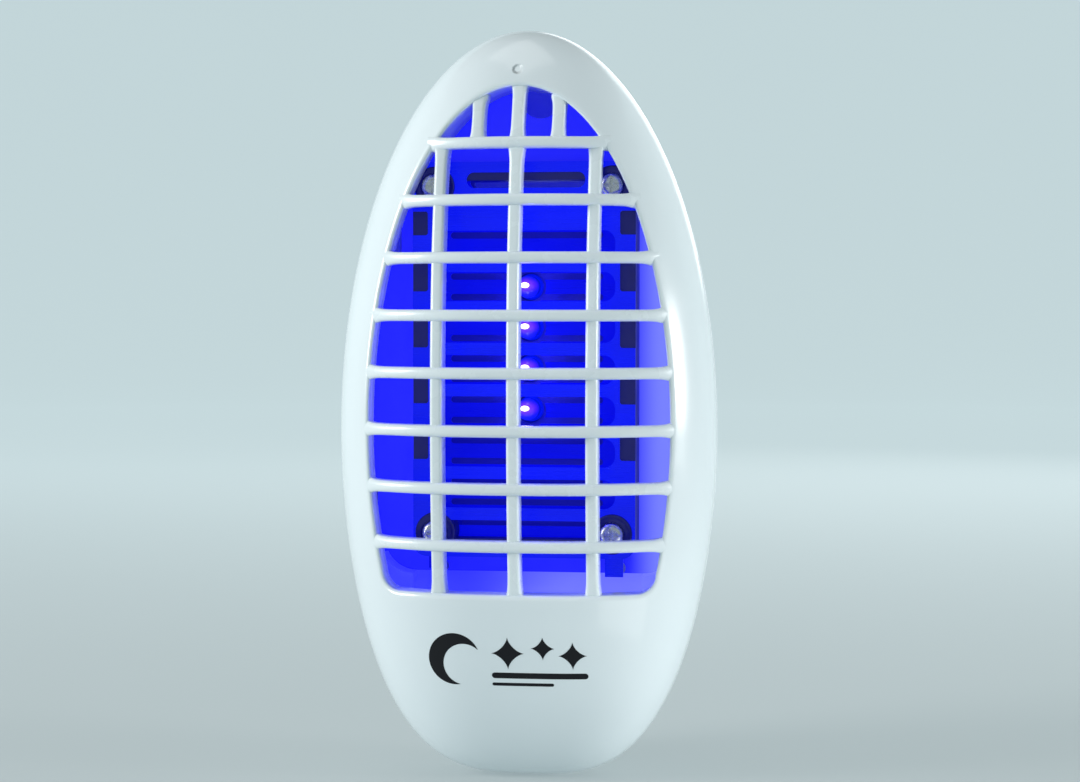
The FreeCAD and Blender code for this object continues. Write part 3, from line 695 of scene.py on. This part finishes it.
def light_liner(mat):
    """Painted light on the liner: a blue glow beside the electrodes and above and below them, painted shade
    behind them, and a paler painted light towards one side.
    """
    tree = mat.node_tree
    shader = tree.nodes["Principled BSDF"]
    # Paler painted light towards the right side.
    pale = ramp(tree, axis_value(tree, "X"), *LIT_RIGHT_SIDE, 0.0, 1.0)
    glow = tint(tree, pale, (0.012, 0.014, 1.0), (0.20, 0.235, 1.0))
    tree.links.new(glow, shader.inputs["Emission Color"])
    # Painted shade behind the electrodes; painted LED light beside, above and below them.
    beside = ramp(tree, axis_value(tree, "X", absolute=True), *PLATE_EDGE, 0.16, 0.90)
    above = ramp(tree, axis_value(tree, "Z"), *ABOVE_PLATES, 0.0, 0.85)
    below = ramp(tree, axis_value(tree, "Z"), *BELOW_PLATES, 0.80, 0.0)
    brightest = beside
    for other in (above, below):
        node = tree.nodes.new("ShaderNodeMath")
        node.operation = "MAXIMUM"
        tree.links.new(brightest, node.inputs[0])
        tree.links.new(other, node.inputs[1])
        brightest = node.outputs[0]
    tree.links.new(brightest, shader.inputs["Emission Strength"])
    return mat


def light_up(mat, glow, near, far, streaks=0.0, pale=None):
    """Paints the LEDs' light into a material as a glow, strongest beside them; pale is the paler painted
    light it takes towards the right, and streaks make the painted glow uneven.
    """
    tree = mat.node_tree
    shader = tree.nodes["Principled BSDF"]
    shader.inputs["Emission Color"].default_value = (*glow, 1)
    if pale:
        across = ramp(tree, axis_value(tree, "X"), *CHUTE_ACROSS, 0.0, 1.0)
        tree.links.new(tint(tree, across, glow, pale), shader.inputs["Emission Color"])
    # A painted pool of LED light, fading away from the LEDs.
    middle = sum(LED_ZS) / len(LED_ZS) * MM
    distance = place_in_object(tree, (0.0, LIGHT_Y, middle), (1.0, 1.0, 0.55))
    strength = ramp(tree, distance, 0.0, LIGHT_REACH, near, far)
    if streaks:
        cloud = noise(tree, 60.0, 2.0, (0.4, 1.0, 2.4))
        uneven = tree.nodes.new("ShaderNodeMath")
        uneven.operation = "MULTIPLY"
        tree.links.new(spread(tree, cloud, 1 - streaks, 1 + streaks), uneven.inputs[0])
        tree.links.new(strength, uneven.inputs[1])
        strength = uneven.outputs[0]
    tree.links.new(strength, shader.inputs["Emission Strength"])
    return mat


def led_material(number, level):
    """A clear lens lit from inside: deep blue, with a violet halo and a white hot spot a little left of and
    above its nose. The spot stands for the bright die inside and is a painted highlight too.
    """
    mat, tree, shader = material(f"led_lens_{number}", (0.05, 0.05, 0.55), 0.10, Coat_Weight=0.5)
    # The hot spot and its halo are a painted highlight, centred a little left of and above the nose.
    hot_spot = place_in_object(tree, (-0.0004, -0.0262, (level + 0.35) * MM), (1.0, 0.6, 1.7))
    core = ramp(tree, hot_spot, 0.0007, 0.0012, 1.0, 0.0)
    halo = ramp(tree, hot_spot, 0.0009, 0.0034, 1.0, 0.0)
    body = tint(tree, halo, (0.0, 0.006, 0.62), (0.20, 0.02, 0.95))
    tree.links.new(tint(tree, core, body, (1.0, 0.93, 1.0)), shader.inputs["Emission Color"])
    tree.links.new(ramp(tree, core, 0.0, 1.0, 0.85, 6.0), shader.inputs["Emission Strength"])
    return mat


def paint(obj, mat):
    """Gives a new piece its one material."""
    obj.data.materials.clear()
    obj.data.materials.append(mat)


def paint_node(name, mat):
    """Gives a CAD node its material, in the slots that it already has."""
    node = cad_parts[name]
    for s in node.material_slots:
        s.material = mat


# ---------------------------------------------------------------- the pieces

white = plastic(
    "white_gloss", (0.80, 0.875, 0.90), 0.22, vary=0.02, Coat_Weight=0.45, Coat_Roughness=0.06
)
dimple(white, DIMPLE_PLACE, DIMPLE_RADIUS, DIMPLE_DEPTH)
white_case = plastic("white_satin", (0.78, 0.85, 0.875), 0.32, vary=0.03)
white_bars = plastic(
    "white_bars", (0.80, 0.875, 0.90), 0.26, vary=0.03, Coat_Weight=0.3, Coat_Roughness=0.08
)

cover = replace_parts(cover_shell(), "front_cover")
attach(cover, "cover")
paint(cover, white)
hooks = cover_hooks()
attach(hooks, "cover")
paint(hooks, white_case)
bars, uprights = grille()
for piece, node in ((bars, "grille_bars_across"), (uprights, "grille_bars_upright")):
    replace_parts(piece, node)
    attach(piece, "cover")
    paint(piece, white_bars)

for number, level in enumerate(LED_ZS, 1):
    piece = led(number, level)
    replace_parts(piece, f"uv_led_{number}")
    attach(piece, "case")
    paint(piece, led_material(number, level))

mark = printed_mark()
paint(mark, plastic("ink", (0.008, 0.009, 0.012), 0.55, Specular_IOR_Level=0.2))
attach(mark, "cover")

# The glow colours below are painted LED light. The electrode plates' dark blue metal colours are painted
# shade and painted blue light, not the plates' own colour.
blue = (0.004, 0.012, 1.0)
deep_blue = (0.001, 0.003, 1.0)
rear_plate = metal("plate_deep", (0.012, 0.014, 0.20), 0.34)
front_plate = metal("plate_front", (0.016, 0.020, 0.24), 0.30)
steel = metal("plated_steel", (0.72, 0.73, 0.76), 0.25, (1, 1, 1))
brass = metal("nickelled_brass", (0.80, 0.76, 0.66), 0.22)
board_green = plastic("solder_mask", (0.03, 0.16, 0.06), 0.35, vary=0.25)
looks = {
    "rear_case": white_case,
    "catch_tray": white_case,
    # The liner, chute, frames, washers and electrodes glow with painted LED light, over blue base colours
    # that paint in shade and blue light as well.
    "inner_liner": light_liner(plastic("lit_liner", (0.03, 0.033, 0.25), 0.55)),
    "insect_chute": light_up(
        plastic("lit_chute", (0.20, 0.21, 0.60), 0.40), (0.030, 0.034, 1.0), 0.85, 0.80,
        streaks=0.10, pale=(0.16, 0.18, 1.0),
    ),
    "rear_grid_frame": light_up(plastic("frame_deep", (0.01, 0.01, 0.05), 0.45), deep_blue, 0.30, 0.12),
    "front_grid_frame": light_up(plastic("frame_front", (0.012, 0.012, 0.05), 0.40), deep_blue, 0.10, 0.03),
    "insulating_washers": light_up(plastic("washer", (0.012, 0.012, 0.06), 0.22), deep_blue, 0.10, 0.05),
    "rear_electrode": light_up(rear_plate, deep_blue, 0.70, 0.48, streaks=0.12),
    "front_electrode": light_up(front_plate, blue, 0.84, 0.58, streaks=0.08),
    "grid_screws": steel,
    "led_board_screws": steel,
    "power_board_screws": steel,
    "plug_screws": steel,
    "plug_bridge": steel,
    # The LED board glows with painted LED light too, over a dark blue base that is painted shade.
    "led_board": light_up(plastic("board_lit", (0.01, 0.03, 0.10), 0.4), deep_blue, 0.22, 0.10),
    "power_board": board_green,
    "mains_film_capacitor": plastic("film_box", (0.62, 0.42, 0.06), 0.4),
    "smoothing_capacitor": plastic("can_sleeve", (0.03, 0.04, 0.07), 0.25),
    "multiplier_capacitors": plastic("dipped_ceramic", (0.08, 0.20, 0.52), 0.3),
    "rectifier_diodes": plastic("diode_body", (0.03, 0.03, 0.035), 0.4),
    "resistors": plastic("resistor_lacquer", (0.62, 0.48, 0.30), 0.35),
    "fuse_resistor": plastic("fuse_lacquer", (0.30, 0.42, 0.28), 0.35),
    "blade_left": brass,
    "blade_right": brass,
    "blade_contact_left": brass,
    "blade_contact_right": brass,
    "plug_block": plastic("plug_block", (0.10, 0.10, 0.11), 0.5),
    "rating_plate": plastic("rating_film", (0.60, 0.61, 0.63), 0.35, vary=0.06),
    "switch_body": plastic("switch_body", (0.05, 0.05, 0.055), 0.5),
    "switch_knob": plastic("switch_knob", (0.045, 0.045, 0.05), 0.42, grain=1500.0, grain_depth=0.00003),
    "led_lead": plastic("lead_black", (0.03, 0.03, 0.033), 0.45),
    "neutral_lead": plastic("lead_white", (0.75, 0.75, 0.74), 0.45),
    "front_electrode_lead": plastic("lead_red", (0.45, 0.03, 0.025), 0.45),
}
looks["live_lead"] = looks["switch_lead"] = looks["led_lead"]
looks["rear_electrode_lead"] = looks["neutral_lead"]
for name, mat in looks.items():
    paint_node(name, mat)


# ---------------------------------------------------------------- stage, light and camera


def area_light(name, place, aim, size, power):
    """A rectangular white lamp that faces a place."""
    light = bpy.data.lights.new(name, "AREA")
    light.shape = "RECTANGLE"
    light.size, light.size_y = size
    light.energy = power
    obj = bpy.data.objects.new(name, light)
    bpy.context.scene.collection.objects.link(obj)
    obj.location = place
    obj.rotation_euler = (Vector(aim) - Vector(place)).to_track_quat("-Z", "Y").to_euler()
    return obj


def studio():
    """A pale seamless floor that sweeps up into a wall all round, far outside the part."""
    flat, sweep, top = 1.7, 0.9, 2.4
    ground = cad_low.z - 0.0004
    profile = [(0.05, ground), (0.6, ground), (flat, ground)]
    for i in range(1, 17):
        a = math.pi / 2 * i / 16
        profile.append((flat + sweep * math.sin(a), ground + sweep * (1 - math.cos(a))))
    profile.append((flat + sweep, ground + top))
    count = 96
    verts = []
    for r, z in profile:
        for j in range(count):
            a = 2 * math.pi * j / count
            verts.append((r * math.cos(a) / MM, r * math.sin(a) / MM, z / MM))
    faces = ring_faces(len(profile), count)
    faces.append(tuple(range(count)))
    obj = new_mesh("studio_floor", verts, faces)
    mat, tree, shader = material("paper", (0.21, 0.22, 0.22), 0.9)
    # The paper's own colour is dark: its teal-white glow, stronger towards the back wall, is painted light
    # that makes it pale and also lights the part.
    shader.inputs["Emission Color"].default_value = (0.78, 0.96, 1.0, 1)
    glow = ramp(tree, axis_value(tree, "Y"), -0.2, 0.9, 0.31, 0.58)
    tree.links.new(glow, shader.inputs["Emission Strength"])
    cloud = noise(tree, 3.0)
    tree.links.new(tint(tree, cloud, (0.20, 0.21, 0.21), (0.22, 0.23, 0.23)), shader.inputs["Base Color"])
    paint(obj, mat)


studio()
middle = (0.0, -0.025, 0.006)
area_light("key", (-0.77, -0.37, 0.24), middle, (0.28, 0.40), 5.3)
area_light("right", (0.82, -0.13, 0.07), middle, (0.14, 0.16), 3.3)
low_card = area_light("low_card", (0.060, -0.080, -0.054), (0.020, -0.045, -0.050), (0.045, 0.040), 0.007)
low_card.visible_camera = False
area_light("top", (-0.10, -0.10, 0.85), middle, (0.5, 0.4), 0.8)
area_light("behind", (0.25, 0.85, 0.40), middle, (0.6, 0.6), 1.6)
for number, level in enumerate(LED_ZS, 1):
    lamp = bpy.data.lights.new(f"led_light_{number}", "POINT")
    lamp.energy = 0.004
    lamp.color = (0.06, 0.05, 1.0)
    lamp.shadow_soft_size = 0.002
    spot = bpy.data.objects.new(f"led_light_{number}", lamp)
    spot.location = (0, -0.031, level * MM)
    bpy.context.scene.collection.objects.link(spot)

world = bpy.data.worlds.new("studio")
world.use_nodes = True
background = world.node_tree.nodes["Background"]
background.inputs["Color"].default_value = (0.80, 0.86, 0.87, 1)
background.inputs["Strength"].default_value = 0.25
bpy.context.scene.world = world
bpy.context.scene.view_settings.view_transform = "Standard"

# The camera looks a little from the right and from above
CAMERA_DISTANCE = 0.50
CAMERA_TURN = math.radians(7.66)
CAMERA_RISE = math.radians(2.38)
aim = Vector((0.0028, -0.025, 0.0090))
back = Vector((
    math.sin(CAMERA_TURN) * math.cos(CAMERA_RISE),
    -math.cos(CAMERA_TURN) * math.cos(CAMERA_RISE),
    math.sin(CAMERA_RISE),
))
lens_data = bpy.data.cameras.new("camera")
lens_data.lens = 75.1
lens_data.sensor_width = 36.0
lens_data.clip_start = 0.01
camera = bpy.data.objects.new("camera", lens_data)
bpy.context.scene.collection.objects.link(camera)
camera.location = aim + back * CAMERA_DISTANCE
camera.rotation_euler = (-back).to_track_quat("-Z", "Y").to_euler()
bpy.context.scene.camera = camera
